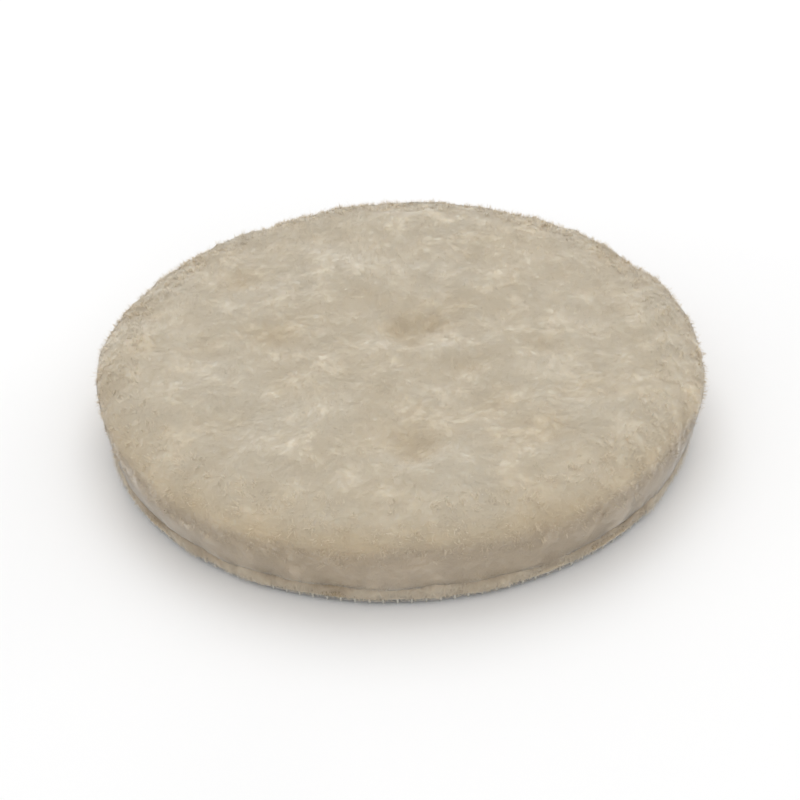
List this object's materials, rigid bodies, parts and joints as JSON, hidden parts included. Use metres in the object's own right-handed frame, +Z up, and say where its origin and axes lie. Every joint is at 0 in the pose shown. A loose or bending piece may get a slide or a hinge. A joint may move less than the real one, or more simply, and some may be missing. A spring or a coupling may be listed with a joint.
{
  "type": "polishing pad",
  "caption": "Round lambswool polishing pad: deep curled wool on a sheepskin disc, sewn to a loop-fastener back with a centring hole.",
  "frame": {"origin": "centre of the loop face, which is the surface that the pad rests on", "axes": "+Z up through the wool, which is also the axis that the pad spins about; +X and +Y lie in the loop face, and the pad looks the same from every side"},
  "size_m": [0.1562, 0.1562, 0.0244],
  "materials": {
    "wool": "soft curled fleece, cream, slightly yellower in the hollows",
    "hide": "matt tanned skin with a raw cut edge",
    "adhesive": "matt cured glue",
    "loop_fabric": "grey knitted nylon with raised loops",
    "thread": "twisted polyester sewing thread, low sheen"
  },
  "bodies": {
    "root": {"wool_pile": "wool", "rim_fringe": "wool", "sheepskin_hide": "hide", "adhesive_film": "adhesive", "loop_cloth": "loop_fabric", "loop_nap": "loop_fabric", "edge_needle_thread": "thread", "edge_bobbin_thread": "thread"}
  },
  "joints": []
}
